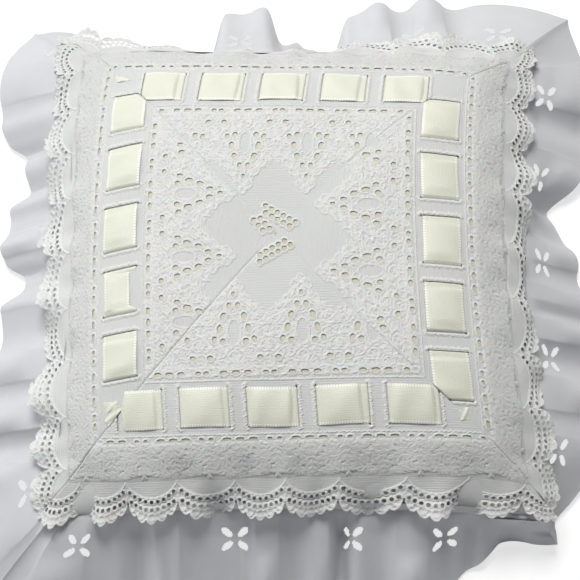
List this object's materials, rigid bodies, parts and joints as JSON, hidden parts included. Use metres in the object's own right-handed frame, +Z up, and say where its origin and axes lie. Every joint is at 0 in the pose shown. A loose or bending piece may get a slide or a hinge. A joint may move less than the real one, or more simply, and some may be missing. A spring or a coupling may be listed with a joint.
{
  "type": "ring bearer pillow",
  "caption": "Square white cotton ring bearer pillow faced with mitred eyelet edging, cream satin ribbon woven through the beading, over a gathered eyelet ruffle",
  "frame": {"origin": "centre of the flat resting face under the belly of the pillow, which is also the middle of the bounding box in X and Y", "axes": "+X to the right along the near side of the pillow, +Y from the near side to the far side (the slightly longer direction), +Z up out of the resting face through the crown"},
  "size_m": [0.2768, 0.2828, 0.061],
  "materials": {
    "fibre": "matte",
    "lining_cotton": "matte",
    "white_cotton": "matte",
    "cream_satin": "satin",
    "ruffle_cotton": "matte"
  },
  "bodies": {
    "root": {"fibre_fill": "fibre", "casing_top": "lining_cotton", "casing_bottom": "lining_cotton", "face_lining": "lining_cotton", "back_panel": "white_cotton", "lace_near": "white_cotton", "lace_right": "white_cotton", "lace_far": "white_cotton", "lace_left": "white_cotton", "ribbon_near": "cream_satin", "ribbon_right": "cream_satin", "ribbon_far": "cream_satin", "ribbon_left": "cream_satin", "gathered_ruffle": "ruffle_cotton"}
  },
  "joints": []
}
